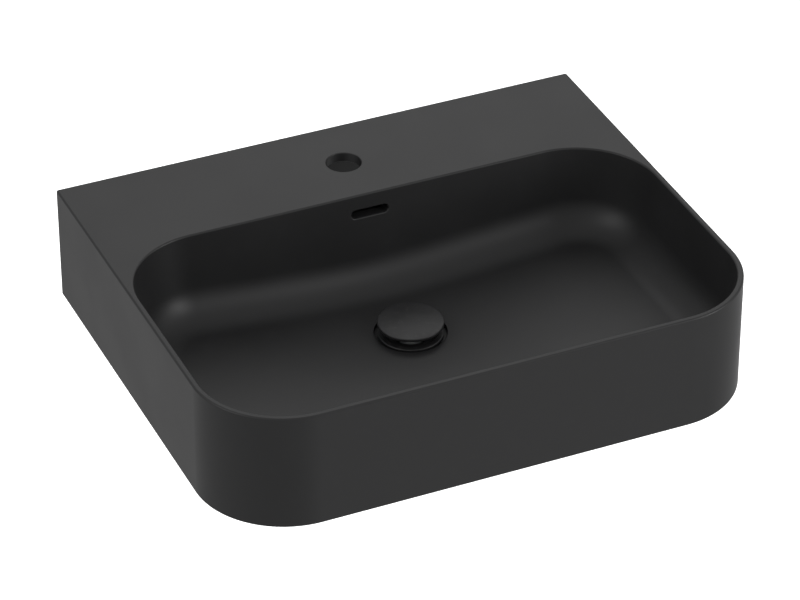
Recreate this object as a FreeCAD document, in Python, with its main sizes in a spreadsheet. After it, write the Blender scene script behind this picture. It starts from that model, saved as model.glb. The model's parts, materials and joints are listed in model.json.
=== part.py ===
import os
from math import hypot, radians, sqrt

import FreeCAD
import Part
import Sketcher

# Wall-hung rectangular washbasin with a tap shelf, an overflow and a click-clack waste.
# Millimetres.  +Z is up, +Y points into the wall, the front of the basin faces -Y.
# The origin lies on the wall plane, midway between the two fixing bolts.

doc = FreeCAD.newDocument("washbasin")
sheet = doc.addObject("Spreadsheet::Sheet", "sizes")

DRIVING_SIZES = [
    # basin, outside
    ("basin_width", 550.0, "across the basin"),
    ("basin_depth", 450.0, "wall to front face"),
    ("basin_height", 120.0, "rim to base"),
    ("front_radius", 89.0, "outer front corners, in plan"),
    ("rim_width", 6.0, "rim at the sides and the front"),
    ("rim_round", 2.0, "edge rounding of the rim and the shelf"),
    # bowl
    ("shelf_depth", 128.5, "wall to the bowl's back edge"),
    ("bowl_corner", 83.0, "bowl corners at the rim, in plan"),
    ("wall_draft", 9.0, "bowl walls from the vertical, degrees"),
    ("bowl_fillet", 40.0, "between bowl walls and floor"),
    ("floor_fall", 0.084, "fall of the floor to the waste, mm per mm"),
    ("under_floor", 17.0, "base to the low point of the floor's cone"),
    # ceramic below the surface
    ("deck_thickness", 10.0, "shelf"),
    ("skin", 8.0, "bowl"),
    ("apron", 7.0, "side and front walls at the base"),
    ("back_wall", 14.0, "back wall, where the bolts hold"),
    # tap hole
    ("tap_radius", 17.5, "tap hole"),
    ("tap_from_wall", 67.0, "tap hole axis to wall"),
    ("hole_round", 1.0, "edge rounding of tap hole and overflow slot"),
    # overflow
    ("slot_length", 39.0, "overflow slot"),
    ("slot_height", 8.6, "overflow slot"),
    ("slot_drop", 19.7, "rim to the slot's axis"),
    ("duct_side", 2.5, "duct wider than the slot, each side"),
    ("duct_gap", 10.0, "overflow duct behind the bowl"),
    ("duct_low_gap", 6.0, "overflow duct below the floor"),
    ("duct_head", 3.0, "duct above the slot"),
    ("duct_wall", 6.0, "ceramic behind, beside and above the duct"),
    ("duct_floor", 5.0, "ceramic below the duct"),
    # waste opening in the basin
    ("waste_from_wall", 228.4, "waste axis to wall"),
    ("recess_gap", 3.5, "recess round the waste flange"),
    ("recess_depth", 1.5, "seat of the waste below the floor's low point"),
    ("hole_gap", 2.05, "hole through the basin, round the outlet tube"),
    ("boss_wall", 2.5, "ceramic boss round the recess"),
    # waste body
    ("flange_radius", 32.0, "waste flange"),
    ("flange_height", 3.0, "waste flange"),
    ("gasket_height", 1.5, "gasket below the flange"),
    ("gasket_inset", 1.0, "gasket inside the flange's edge"),
    ("tube_radius", 20.95, "outlet thread, major radius"),
    ("tube_wall", 2.45, "outlet tube"),
    ("tube_length", 76.0, "flange underside to the outlet's end"),
    ("flange_rim", 5.0, "flat rim of the flange round its dished seat"),
    ("dish_drop", 1.8, "depth of the dished seat"),
    ("window_width", 20.0, "two overflow windows in the tube"),
    ("window_height", 9.0, "overflow windows"),
    ("window_drop", 5.5, "flange underside to the windows' top"),
    ("ring_height", 6.0, "ring in the tube that carries the barrel"),
    ("ring_wall", 2.4, "that ring"),
    ("ring_top_drop", 24.0, "seat to the ring's top"),
    ("arm_width", 3.0, "four arms that hold the ring"),
    ("weld_depth", 0.5, "arms run into ring and tube"),
    # below the basin
    ("taper_height", 6.0, "tapered rubber gasket"),
    ("taper_lap", 8.0, "tapered gasket beyond the hole"),
    ("taper_in", 3.5, "its taper"),
    ("slip_height", 1.5, "slip washer"),
    ("slip_lap", 1.5, "slip washer beyond the gasket"),
    ("nut_height", 9.0, "back nut"),
    ("nut_wall", 5.05, "back nut, thread to flat"),
    ("relief_gap", 1.0, "back nut to the thread's relief"),
    ("relief_height", 2.0, "relief in the thread below the back nut"),
    ("relief_depth", 0.8, "that relief"),
    ("slide_gap", 0.25, "pieces that slip over tube or barrel"),
    ("thread_play", 0.05, "screwed pieces, radial"),
    # cap
    ("cap_lap", 0.4, "waste cap beyond the flange"),
    ("cap_edge", 3.0, "cap's edge"),
    ("cap_crown", 1.4, "rise of the cap's dome"),
    ("cap_travel", 9.0, "open to shut"),
    ("cap_shut_gap", 0.3, "cap over the flange when shut"),
    ("cap_boss_wall", 3.15, "threaded boss under the cap"),
    ("cap_boss_drop", 5.8, "that boss"),
    ("locknut_height", 3.0, "lock nut under the cap's boss"),
    ("locknut_wall", 2.7, "lock nut, thread to flat"),
    ("seal_inset", 3.0, "O-ring inside the dished seat's edge"),
    ("seal_section", 1.2, "radius of the O-ring's section"),
    ("seal_play", 0.05, "O-ring in its groove"),
    ("seal_shut_gap", 0.3, "O-ring over the dished seat when shut"),
    # click cartridge
    ("barrel_drop", 5.0, "seat to the barrel's top"),
    ("barrel_length", 40.0, "barrel"),
    ("barrel_radius", 11.5, "barrel"),
    ("barrel_wall", 2.0, "barrel"),
    ("lid_height", 2.5, "barrel's top wall"),
    ("collar_height", 2.0, "barrel's collar"),
    ("collar_lap", 1.85, "barrel's collar on the carrying ring"),
    ("washer_under_collar", 1.0, "rubber ring between collar and carrying ring"),
    ("barrel_nut_height", 4.0, "nut below the carrying ring"),
    ("barrel_nut_wall", 2.0, "that nut, thread to flat"),
    ("rod_radius", 5.0, "plunger's rod"),
    ("rod_play", 0.3, "rod in the barrel's lid"),
    ("stud_radius", 3.8, "plunger's threaded stud"),
    ("stud_in_cap", 5.0, "stud in the cap's boss"),
    ("stud_end_gap", 0.4, "above the stud's end"),
    ("spline_play", 0.5, "plunger's splines in the barrel"),
    ("guide_height", 7.0, "plunger's head"),
    ("spline_height", 1.2, "four splines beyond the head"),
    ("spline_width", 3.0, "splines"),
    ("rib_width", 2.0, "eight ribs in the barrel"),
    ("rib_gap", 0.4, "ribs round the head"),
    ("rib_past", 1.0, "ribs beyond the head's lowest place"),
    ("rotor_play", 0.8, "cam rotor inside the ribs"),
    ("rotor_height", 6.0, "cam rotor"),
    ("rotor_gap", 0.3, "rotor below head, head below lid"),
    ("notch_width", 2.0, "four notches across the rotor's top"),
    ("notch_depth", 1.5, "those notches"),
    ("tail_radius", 3.0, "rotor's tail in the spring"),
    ("tail_length", 5.0, "rotor's tail"),
    ("plug_height", 4.0, "screwed plug at the barrel's foot"),
    ("plug_drain", 2.0, "radius of the plug's drain hole"),
    ("spring_slack", 2.5, "spring round the rotor's tail"),
    ("wire_radius", 0.5, "spring wire"),
    ("spring_turns", 6.0, "turns"),
    ("spring_seat_gap", 0.1, "spring at either end"),
    # wall fixings
    ("rim_above_bolts", 60.0, "bolt axes to the rim"),
    ("bolt_spacing", 280.0, "between the bolts"),
    ("bolt_radius", 5.0, "hanger bolt, machine thread"),
    ("wood_radius", 5.4, "its wood thread, in the wall"),
    ("bolt_in_wall", 65.0, "length in the wall"),
    ("bolt_in_basin", 42.0, "length in the basin"),
    ("bolt_tip", 10.0, "point of the wood thread"),
    ("bush_wall", 4.5, "bush"),
    ("bush_play", 0.2, "bush in its hole"),
    ("bush_bore_play", 0.3, "bolt in its bush"),
    ("bush_end_gap", 0.5, "bush short of the wall"),
    ("bush_lap", 4.0, "bush's flange beyond the hole"),
    ("bush_flange_height", 3.0, "bush's flange"),
    ("washer_lap", 6.7, "steel washer"),
    ("washer_height", 2.0, "steel washer"),
    ("bolt_nut_wall", 3.5, "nut, thread to flat"),
    ("bolt_nut_height", 8.0, "nut"),
]


class Dim:
    """A size from the sheet, or a sum of sizes: its number, and the expression that gives it."""

    def __init__(self, value, text):
        self.value = value
        self.text = text

    def __add__(self, other):
        other = dim(other)
        return Dim(self.value + other.value, f"({self.text} + {other.text})")

    def __sub__(self, other):
        other = dim(other)
        return Dim(self.value - other.value, f"({self.text} - {other.text})")

    def __mul__(self, other):
        other = dim(other)
        return Dim(self.value * other.value, f"({self.text} * {other.text})")

    def __truediv__(self, other):
        other = dim(other)
        return Dim(self.value / other.value, f"({self.text} / {other.text})")

    def __neg__(self):
        return dim(0) - self

    def __radd__(self, other):
        return dim(other) + self

    def __rsub__(self, other):
        return dim(other) - self

    def __rmul__(self, other):
        return dim(other) * self


def dim(value):
    return value if isinstance(value, Dim) else Dim(float(value), repr(float(value)))


for row, (alias, value, note) in enumerate(DRIVING_SIZES, start=1):
    sheet.set(f"A{row}", alias)
    sheet.set(f"B{row}", str(value))
    sheet.set(f"C{row}", note)
    sheet.setAlias(f"B{row}", alias)
doc.recompute()
size = {alias: Dim(value, f"sizes.{alias}") for alias, value, note in DRIVING_SIZES}


# ---------------------------------------------------------------- levels and places
half_width = size["basin_width"] / 2
rim_z = size["rim_above_bolts"]
base_z = rim_z - size["basin_height"]
floor_z = base_z + size["under_floor"]
seat_z = floor_z - size["recess_depth"]
deck_z = rim_z - size["deck_thickness"]
slot_z = rim_z - size["slot_drop"]
duct_z = base_z + size["duct_floor"]
waste_y = -size["waste_from_wall"]
bolt_bore = size["bolt_radius"] + size["bush_bore_play"]
fixing_hole = bolt_bore + size["bush_wall"] + size["bush_play"]

# the levels below are measured up the waste's axis, from the seat of the waste
flange_low = size["gasket_height"]
flange_top = flange_low + size["flange_height"]
dish_floor = flange_top - size["dish_drop"]
tube_end = flange_low - size["tube_length"]
tube_bore = size["tube_radius"] - size["tube_wall"]
ring_top = -size["ring_top_drop"]
ring_low = ring_top - size["ring_height"]
ring_bore = size["barrel_radius"] + size["slide_gap"]
collar_radius = ring_bore + size["collar_lap"]
ring_radius = ring_bore + size["ring_wall"]
taper_top = base_z - seat_z
taper_low = taper_top - size["taper_height"]
slip_low = taper_low - size["slip_height"]
nut_low = slip_low - size["nut_height"]
relief_top = nut_low - size["relief_gap"]
relief_low = relief_top - size["relief_height"]
slip_bore = size["tube_radius"] + size["slide_gap"]
waste_hole = size["tube_radius"] + size["hole_gap"]
recess_radius = size["flange_radius"] + size["recess_gap"]
dish_radius = size["flange_radius"] - size["flange_rim"]
taper_radius = waste_hole + size["taper_lap"]
taper_small = taper_radius - size["taper_in"]

cap_low = flange_top + size["cap_shut_gap"] + size["cap_travel"]
cap_boss_low = cap_low - size["cap_boss_drop"]
seal_low = dish_floor + size["seal_shut_gap"] + size["cap_travel"]
seal_middle = seal_low + size["seal_section"]
rod_top = cap_boss_low - size["locknut_height"]
stud_top = cap_boss_low + size["stud_in_cap"]
stud_bore = size["stud_radius"] + size["thread_play"]
cap_radius = size["flange_radius"] + size["cap_lap"]
seal_radius = dish_radius - size["seal_inset"]

barrel_top = -size["barrel_drop"]
barrel_low = barrel_top - size["barrel_length"]
barrel_bore = size["barrel_radius"] - size["barrel_wall"]
collar_low = ring_top + size["washer_under_collar"]
lid_low = barrel_top - size["lid_height"]
guide_top = lid_low - size["rotor_gap"]
guide_low = guide_top - size["guide_height"]
spline_end = barrel_bore - size["spline_play"]
guide_radius = spline_end - size["spline_height"]
rib_radius = guide_radius + size["rib_gap"]
rotor_radius = rib_radius - size["rotor_play"]
spring_radius = size["tail_radius"] + size["wire_radius"] + size["spring_slack"]
rib_low = guide_low - size["cap_travel"] - size["rib_past"]
rotor_top = guide_low - size["rotor_gap"]
rotor_low = rotor_top - size["rotor_height"]
plug_top = barrel_low + size["plug_height"]


# ---------------------------------------------------------------- drawing helpers
def new_body(name):
    body = doc.addObject("PartDesign::Body", name)
    body.Label = name
    return body


def bind(thing, **values):
    """Ties properties of a feature to the sheet: bind(pad, Length=a + b)."""
    for name, value in values.items():
        thing.setExpression(name, dim(value).text)


def place(thing, x=0, y=0, z=0):
    """Puts a piece at a place worked out from the sheet."""
    for axis, value in (("x", x), ("y", y), ("z", z)):
        thing.setExpression(f"Placement.Base.{axis}", dim(value).text)


def on_plane(body, name, role, lift=0):
    """A sketch on one of the body's own origin planes, raised along its normal by lift."""
    sketch = body.newObject("Sketcher::SketchObject", name)
    plane = [f for f in body.Origin.OriginFeatures if f.Role == role][0]
    sketch.AttachmentSupport = [(plane, "")]
    sketch.MapMode = "FlatFace"
    sketch.setExpression("AttachmentOffset.Base.z", dim(lift).text)
    return sketch


def pin_point(sketch, line, end, x, y):
    """Holds a point of the sketch at x, y, both tied to the sheet."""
    for kind, value in (("DistanceX", x), ("DistanceY", y)):
        value = dim(value)
        number = sketch.addConstraint(Sketcher.Constraint(kind, -1, 1, line, end, value.value))
        sketch.setExpression(f"Constraints[{number}]", value.text)


def outline(sketch, points, domes=()):
    """A closed outline through points.  A side whose number is in domes is an arc
    that is centred on the sketch's vertical axis."""
    points = [(dim(x), dim(y)) for x, y in points]
    count = len(points)
    for side, (a, b) in enumerate(zip(points, points[1:] + points[:1])):
        start = FreeCAD.Vector(a[0].value, a[1].value, 0)
        end = FreeCAD.Vector(b[0].value, b[1].value, 0)
        if side in domes:
            # the centre lies on the vertical axis, as far from both ends
            gap = (end.x**2 + end.y**2 - start.x**2 - start.y**2) / (2 * (end.y - start.y))
            middle = FreeCAD.Vector(0, gap, 0)
            reach = start.distanceToPoint(middle)
            half = (start - middle + end - middle).normalize() * reach + middle
            sketch.addGeometry(Part.Arc(start, half, end), False)
        else:
            sketch.addGeometry(Part.LineSegment(start, end), False)
    ends = {}
    for side in range(count):
        first, last = 1, 2
        if side in domes:
            start = FreeCAD.Vector(points[side][0].value, points[side][1].value, 0)
            if sketch.getPoint(side, 1).distanceToPoint(start) > 1e-4:
                first, last = 2, 1
        ends[side] = (first, last)
    for side in range(count):
        after = (side + 1) % count
        joined = Sketcher.Constraint("Coincident", side, ends[side][1], after, ends[after][0])
        sketch.addConstraint(joined)
    for side, (x, y) in enumerate(points):
        pin_point(sketch, side, ends[side][0], x, y)
    for side in domes:
        sketch.addConstraint(Sketcher.Constraint("PointOnObject", side, 3, -2))


def rounded_outline(sketch, left, right, low, high, radius, back_radius=None):
    """A rectangle with rounded corners; with no back_radius its two high corners are square."""
    left, right, low, high, radius = (dim(v) for v in (left, right, low, high, radius))
    turns = [(radius, left, low, 180), (radius, right, low, 270)]
    if back_radius is not None:
        back_radius = dim(back_radius)
        turns += [(back_radius, right, high, 0), (back_radius, left, high, 90)]
    corners = []
    for r, x, y, start in turns:
        cx = x.value + r.value * (1 if x is left else -1)
        cy = y.value + r.value * (1 if y is low else -1)
        circle = Part.Circle(FreeCAD.Vector(cx, cy, 0), FreeCAD.Vector(0, 0, 1), r.value)
        arc = Part.ArcOfCircle(circle, radians(start), radians(start + 90))
        corners.append(sketch.addGeometry(arc, False))
    joints = [(c, 1) for c in corners] + [(c, 2) for c in corners]
    spots = {j: sketch.getPoint(*j) for j in joints}
    sides = []
    if back_radius is None:
        top_right = FreeCAD.Vector(right.value, high.value, 0)
        top_left = FreeCAD.Vector(left.value, high.value, 0)
        sides.append((spots[(0, 2)], spots[(1, 1)]))
        sides.append((spots[(1, 2)], top_right))
        sides.append((top_right, top_left))
        sides.append((top_left, spots[(0, 1)]))
    else:
        for k in range(4):
            sides.append((spots[(k, 2)], spots[((k + 1) % 4, 1)]))
    lines = [sketch.addGeometry(Part.LineSegment(a, b), False) for a, b in sides]
    if back_radius is None:
        tangents = [((0, 2), (lines[0], 1)), ((lines[0], 2), (1, 1))]
        tangents += [((1, 2), (lines[1], 1)), ((lines[3], 2), (0, 1))]
        sketch.addConstraint(Sketcher.Constraint("Coincident", lines[1], 2, lines[2], 1))
        sketch.addConstraint(Sketcher.Constraint("Coincident", lines[2], 2, lines[3], 1))
    else:
        tangents = []
        for k in range(4):
            tangents.append(((k, 2), (lines[k], 1)))
            tangents.append(((lines[k], 2), ((k + 1) % 4, 1)))
    for (g1, p1), (g2, p2) in tangents:
        sketch.addConstraint(Sketcher.Constraint("Tangent", g1, p1, g2, p2))
    for line, kind in zip(lines, ("Horizontal", "Vertical", "Horizontal", "Vertical")):
        sketch.addConstraint(Sketcher.Constraint(kind, line))
    for line, kind, value in (
        (lines[0], "DistanceY", low),
        (lines[1], "DistanceX", right),
        (lines[2], "DistanceY", high),
        (lines[3], "DistanceX", left),
    ):
        number = sketch.addConstraint(Sketcher.Constraint(kind, -1, 1, line, 1, value.value))
        sketch.setExpression(f"Constraints[{number}]", value.text)
    for corner, turn in zip(corners, turns):
        number = sketch.addConstraint(Sketcher.Constraint("Radius", corner, turn[0].value))
        sketch.setExpression(f"Constraints[{number}]", turn[0].text)


def pad(body, sketch, name, length, taper=None, down=False):
    feature = body.newObject("PartDesign::Pad", name)
    feature.Profile = sketch
    bind(feature, Length=length)
    feature.Reversed = down
    if taper is not None:
        bind(feature, TaperAngle=taper)
    return feature


def turn(body, sketch, name, cut=False):
    """Spins an upright sketch once round the body's vertical axis."""
    kind = "PartDesign::Groove" if cut else "PartDesign::Revolution"
    feature = body.newObject(kind, name)
    feature.Profile = sketch
    feature.ReferenceAxis = (sketch, ["V_Axis"])
    feature.Angle = 360
    return feature


def turned_piece(name, points, domes=()):
    """A body of revolution on the waste's axis, heights measured from the seat."""
    body = new_body(name)
    sketch = on_plane(body, name + "_profile", "XZ_Plane")
    outline(sketch, points, domes)
    turn(body, sketch, name + "_turned")
    place(body, y=waste_y, z=seat_z)
    return body


def ring(name, inner, outer, low, high):
    return turned_piece(name, [(inner, low), (outer, low), (outer, high), (inner, high)])


def circle(sketch, radius, x=0, y=0):
    spot = FreeCAD.Vector(dim(x).value, dim(y).value, 0)
    number = sketch.addGeometry(Part.Circle(spot, FreeCAD.Vector(0, 0, 1), dim(radius).value), False)
    pin_point(sketch, number, 3, x, y)
    held = sketch.addConstraint(Sketcher.Constraint("Radius", number, dim(radius).value))
    sketch.setExpression(f"Constraints[{held}]", dim(radius).text)


def pocket(body, sketch, name, depth, flip=False):
    """Cuts a sketch down into the body.  It must take something away."""
    doc.recompute()
    before = body.Shape.Volume
    feature = body.newObject("PartDesign::Pocket", name)
    feature.Profile = sketch
    feature.Reversed = flip
    bind(feature, Length=depth)
    doc.recompute()
    assert body.Shape.Volume < before - 1e-6, name
    return feature


def repeat(body, feature, name, times):
    """Repeats a feature round the body's vertical axis."""
    pattern = body.newObject("PartDesign::PolarPattern", name)
    pattern.Originals = [feature]
    upright = [f for f in body.Origin.OriginFeatures if f.Role == "Z_Axis"][0]
    pattern.Axis = (upright, [""])
    pattern.Angle = 360
    pattern.Occurrences = times
    body.Tip = pattern
    return pattern


def combine(body, name, kind, tools):
    """Joins whole bodies to this one ("Fuse") or cuts them from it ("Cut")."""
    doc.recompute()
    feature = body.newObject("PartDesign::Boolean", name)
    feature.setObjects(tools)
    feature.Type = kind
    doc.recompute()
    return feature


def soften(body, name, radius, wanted):
    """Rounds the edges of the body whose box passes the test."""
    doc.recompute()
    whole = body.Tip
    edges = [f"Edge{n}" for n, e in enumerate(whole.Shape.Edges, start=1) if wanted(e.BoundBox)]
    assert edges, name
    rounding = body.newObject("PartDesign::Fillet", name)
    rounding.Base = (whole, edges)
    bind(rounding, Radius=radius)
    return rounding


def hexagon(name, flats, bore, low, high):
    """A nut on the body's axis, from low to high."""
    body = new_body(name)
    plan = on_plane(body, name + "_plan", "XY_Plane", low)
    far = flats / sqrt(3)
    near = far / 2
    side = flats / 2
    outline(plan, [(far, 0), (near, side), (-near, side), (-far, 0), (-near, -side), (near, -side)])
    pad(body, plan, name + "_block", high - low)
    hole = on_plane(body, name + "_hole", "XY_Plane", high)
    circle(hole, bore)
    pocket(body, hole, name + "_bore", high - low)
    return body


def along_wall_axis(body, x):
    """Turns a body so that its axis points into the wall, and sets it on a bolt."""
    place(body, x=x)
    body.Placement.Rotation = FreeCAD.Rotation(FreeCAD.Vector(1, 0, 0), -90)


def pair(name, make):
    """Two equal pieces at the wall bolts, as one node of two solids."""
    pieces = []
    for side, x in (("left", -size["bolt_spacing"] / 2), ("right", size["bolt_spacing"] / 2)):
        piece = make(f"{name}_{side}")
        along_wall_axis(piece, x)
        pieces.append(piece)
    both = doc.addObject("Part::Compound", name)
    both.Links = pieces
    both.Label = name
    return both


# ---------------------------------------------------------------- basin
def bowl_form(name, grow):
    """The bowl's hollow, or with grow the outside of its ceramic skin.
    The body's axis is the waste's, its heights are those of the basin."""
    body = new_body(name)
    top = on_plane(body, name + "_opening", "XY_Plane", rim_z)
    side = size["basin_width"] / 2 - size["rim_width"] + grow
    front = size["waste_from_wall"] - size["basin_depth"] + size["rim_width"] - grow
    back = size["waste_from_wall"] - size["shelf_depth"] + grow
    corner = size["bowl_corner"] + grow
    rounded_outline(top, -side, side, front, back, corner, corner)
    walls = pad(body, top, name + "_walls", size["basin_height"], -size["wall_draft"], down=True)
    # everything below the cone of the floor goes
    reach = size["basin_width"]
    low = floor_z - grow
    below = low - size["basin_height"] * 2
    # drawn towards the flat back wall, so that the cone's seam doesn't meet a corner
    floor = on_plane(body, name + "_floor_profile", "YZ_Plane")
    outline(floor, [(0, below), (reach, below), (reach, low + reach * size["floor_fall"]), (0, low)])
    turn(body, floor, name + "_floor", cut=True)
    doc.recompute()
    full = body.Tip
    half_way = rim_z.value - size["basin_height"].value / 2
    edges = []
    for number, edge in enumerate(full.Shape.Edges, start=1):
        ends = [v.Point for v in edge.Vertexes]
        from_axis = min(hypot(p.x, p.y) for p in ends)
        # the cone's own seam starts on the axis and stays sharp
        if max(p.z for p in ends) < half_way and from_axis > recess_radius.value:
            edges.append(f"Edge{number}")
    round_ = body.newObject("PartDesign::Fillet", name + "_fillet")
    round_.Base = (full, edges)
    bind(round_, Radius=size["bowl_fillet"] + grow)
    place(body, y=waste_y)
    return body


basin = new_body("basin")
plan = on_plane(basin, "basin_plan", "XY_Plane", base_z)
rounded_outline(plan, -half_width, half_width, -size["basin_depth"], dim(0), size["front_radius"])
pad(basin, plan, "basin_block", size["basin_height"])

# the room below the shelf and round the bowl, open at the base
under = new_body("underside")
plan = on_plane(under, "underside_plan", "XY_Plane", base_z)
inside = half_width - size["apron"]
front = size["apron"] - size["basin_depth"]
rounded_outline(plan, -inside, inside, front, -size["back_wall"], size["front_radius"] - size["apron"])
pad(under, plan, "underside_block", size["basin_height"] - size["deck_thickness"])

# what stays solid in that room: the bowl's skin, the boss of the waste and the duct's walls
boss = new_body("waste_boss")
plan = on_plane(boss, "waste_boss_plan", "XY_Plane", base_z)
circle(plan, recess_radius + size["boss_wall"])
pad(boss, plan, "waste_boss_block", size["under_floor"])
place(boss, y=waste_y)

duct_front = size["skin"] - size["shelf_depth"]
duct_back = duct_front + size["duct_gap"]
duct_top = slot_z + size["slot_height"] / 2 + size["duct_head"]


def duct_form(name, wall, low, top):
    """The overflow duct, seen from the side an L: down behind the bowl, then to the waste."""
    body = new_body(name)
    half = size["slot_length"] / 2 + size["duct_side"] + wall
    side = on_plane(body, name + "_side", "YZ_Plane", -half)
    turn_z = duct_z + size["duct_low_gap"] + wall
    corners = [
        (duct_front - wall, turn_z),
        (duct_front - wall, top),
        (duct_back + wall, top),
        (duct_back + wall, low),
        (waste_y, low),
        (waste_y, turn_z),
    ]
    outline(side, corners)
    pad(body, side, name + "_block", half * 2)
    return body


duct_shell = duct_form("duct_shell", size["duct_wall"], base_z, deck_z + size["duct_head"])
combine(under, "underside_room", "Cut", [bowl_form("bowl_skin", size["skin"]), boss, duct_shell])

# the overflow slot, from the bowl into the duct
slot = new_body("slot_space")
face = on_plane(slot, "slot_outline", "XZ_Plane", -duct_front)
half = size["slot_height"] / 2
reach = size["slot_length"] / 2
slot_end = half * 0.999  # a hair under half, so that the short sides don't vanish
rounded_outline(face, -reach, reach, slot_z - half, slot_z + half, slot_end, slot_end)
pad(slot, face, "slot_block", size["skin"] * 3)  # runs well out into the bowl

duct = duct_form("duct_space", dim(0), duct_z, duct_top)
combine(basin, "basin_hollows", "Cut", [bowl_form("bowl_space", dim(0)), under, duct, slot])

plan = on_plane(basin, "tap_hole_plan", "XY_Plane", rim_z)
circle(plan, size["tap_radius"], y=-size["tap_from_wall"])
pocket(basin, plan, "tap_hole", size["deck_thickness"] + size["skin"])

plan = on_plane(basin, "recess_plan", "XY_Plane", rim_z)
circle(plan, recess_radius, y=waste_y)
pocket(basin, plan, "waste_recess", rim_z - seat_z)

plan = on_plane(basin, "waste_hole_plan", "XY_Plane", rim_z)
circle(plan, waste_hole, y=waste_y)
pocket(basin, plan, "waste_hole", size["basin_height"] + size["skin"])

for hand, x in (("left", -size["bolt_spacing"] / 2), ("right", size["bolt_spacing"] / 2)):
    face = on_plane(basin, f"fixing_hole_{hand}_plan", "XZ_Plane", size["back_wall"] + size["skin"])
    circle(face, fixing_hole, x=x)
    pocket(basin, face, f"fixing_hole_{hand}", size["back_wall"] + size["skin"] * 2)

rim_level = rim_z.value
tap_reach = size["tap_from_wall"].value - size["tap_radius"].value


def on_rim(box):
    level = abs(box.ZMin - rim_level) < 0.01 and abs(box.ZMax - rim_level) < 0.01
    return level and not (box.YMax < -tap_reach + 1 and box.XLength < 2 * size["tap_radius"].value + 1)


def at_tap(box):
    level = abs(box.ZMin - rim_level) < 0.01 and abs(box.ZMax - rim_level) < 0.01
    wide = 2 * size["tap_radius"].value
    return level and abs(box.XLength - wide) < 0.1 and abs(box.YLength - wide) < 0.1


def at_slot(box):
    long, tall, middle = size["slot_length"].value, size["slot_height"].value, slot_z.value
    near_x = max(abs(box.XMin), abs(box.XMax)) < long / 2 + 0.1
    near_z = max(abs(box.ZMin - middle), abs(box.ZMax - middle)) < tall / 2 + 0.1
    in_bowl = box.YMax < -size["shelf_depth"].value and box.YLength < tall
    return near_x and near_z and in_bowl


soften(basin, "rim_rounding", size["rim_round"], on_rim)
soften(basin, "tap_hole_rounding", size["hole_round"], at_tap)
soften(basin, "slot_rounding", size["hole_round"], at_slot)


# ---------------------------------------------------------------- waste body and what clamps it
waste_body = turned_piece("waste_body", [
    (tube_bore, tube_end),
    (size["tube_radius"], tube_end),
    (size["tube_radius"], relief_low),
    (size["tube_radius"] - size["relief_depth"], relief_low),
    (size["tube_radius"] - size["relief_depth"], relief_top),
    (size["tube_radius"], relief_top),
    (size["tube_radius"], flange_low),
    (size["flange_radius"], flange_low),
    (size["flange_radius"], flange_top),
    (dish_radius, flange_top),
    (dish_radius - size["dish_drop"], dish_floor),
    (tube_bore, dish_floor),
])
window = on_plane(waste_body, "window_outline", "XZ_Plane", size["flange_radius"])
window_top = flange_low - size["window_drop"]
window_low = window_top - size["window_height"]
across = size["window_width"] / 2
outline(window, [(-across, window_low), (across, window_low), (across, window_top), (-across, window_top)])
pocket(waste_body, window, "windows", size["flange_radius"] * 2)

plan = on_plane(waste_body, "arm_plan", "XY_Plane", ring_low)
arm = size["arm_width"] / 2
arm_start = ring_radius - size["weld_depth"]
arm_end = tube_bore + size["weld_depth"]
outline(plan, [(arm_start, -arm), (arm_end, -arm), (arm_end, arm), (arm_start, arm)])
arm_pad = pad(waste_body, plan, "arm", size["ring_height"])
repeat(waste_body, arm_pad, "arms", 4)
plan = on_plane(waste_body, "ring_plan", "XY_Plane", ring_low)
circle(plan, ring_radius)
circle(plan, ring_bore)
pad(waste_body, plan, "barrel_ring", size["ring_height"])

ring("flange_gasket", slip_bore, size["flange_radius"] - size["gasket_inset"], dim(0), flange_low)
turned_piece("tapered_gasket", [
    (slip_bore, taper_low),
    (taper_small, taper_low),
    (taper_radius, taper_top),
    (slip_bore, taper_top),
])
ring("slip_washer", slip_bore, taper_small + size["slip_lap"], slip_low, taper_low)
nut_bore = size["tube_radius"] + size["thread_play"]
flats = (size["tube_radius"] + size["nut_wall"]) * 2
back_nut = hexagon("back_nut", flats, nut_bore, nut_low, slip_low)
place(back_nut, y=waste_y, z=seat_z)


# ---------------------------------------------------------------- cap
groove_in = seal_radius - size["seal_section"] - size["seal_play"]
groove_out = seal_radius + size["seal_section"] + size["seal_play"]
groove_top = seal_low + size["seal_section"] * 2 + size["seal_play"]
hole_top = stud_top + size["stud_end_gap"]
cap_rim = cap_low + size["cap_edge"]
cap_outline = [
    (0, hole_top),
    (stud_bore, hole_top),
    (stud_bore, cap_boss_low),
    (stud_bore + size["cap_boss_wall"], cap_boss_low),
    (stud_bore + size["cap_boss_wall"], cap_low),
    (groove_in, cap_low),
    (groove_in, groove_top),
    (groove_out, groove_top),
    (groove_out, cap_low),
    (cap_radius, cap_low),
    (cap_radius, cap_rim),
    (0, cap_rim + size["cap_crown"]),
]
turned_piece("waste_cap", cap_outline, domes=(10,))

seal = doc.addObject("Part::Torus", "cap_seal")
seal.Label = "cap_seal"
bind(seal, Radius1=seal_radius, Radius2=size["seal_section"])
place(seal, y=waste_y, z=seat_z + seal_middle)

flats = (size["stud_radius"] + size["locknut_wall"]) * 2
locknut = hexagon("cap_locknut", flats, stud_bore, rod_top, cap_boss_low)
place(locknut, y=waste_y, z=seat_z)


# ---------------------------------------------------------------- click cartridge
lid_bore = size["rod_radius"] + size["rod_play"]
barrel = turned_piece("barrel", [
    (barrel_bore, barrel_low),
    (size["barrel_radius"], barrel_low),
    (size["barrel_radius"], collar_low),
    (collar_radius, collar_low),
    (collar_radius, collar_low + size["collar_height"]),
    (size["barrel_radius"], collar_low + size["collar_height"]),
    (size["barrel_radius"], barrel_top),
    (lid_bore, barrel_top),
    (lid_bore, lid_low),
    (barrel_bore, lid_low),
])
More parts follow.
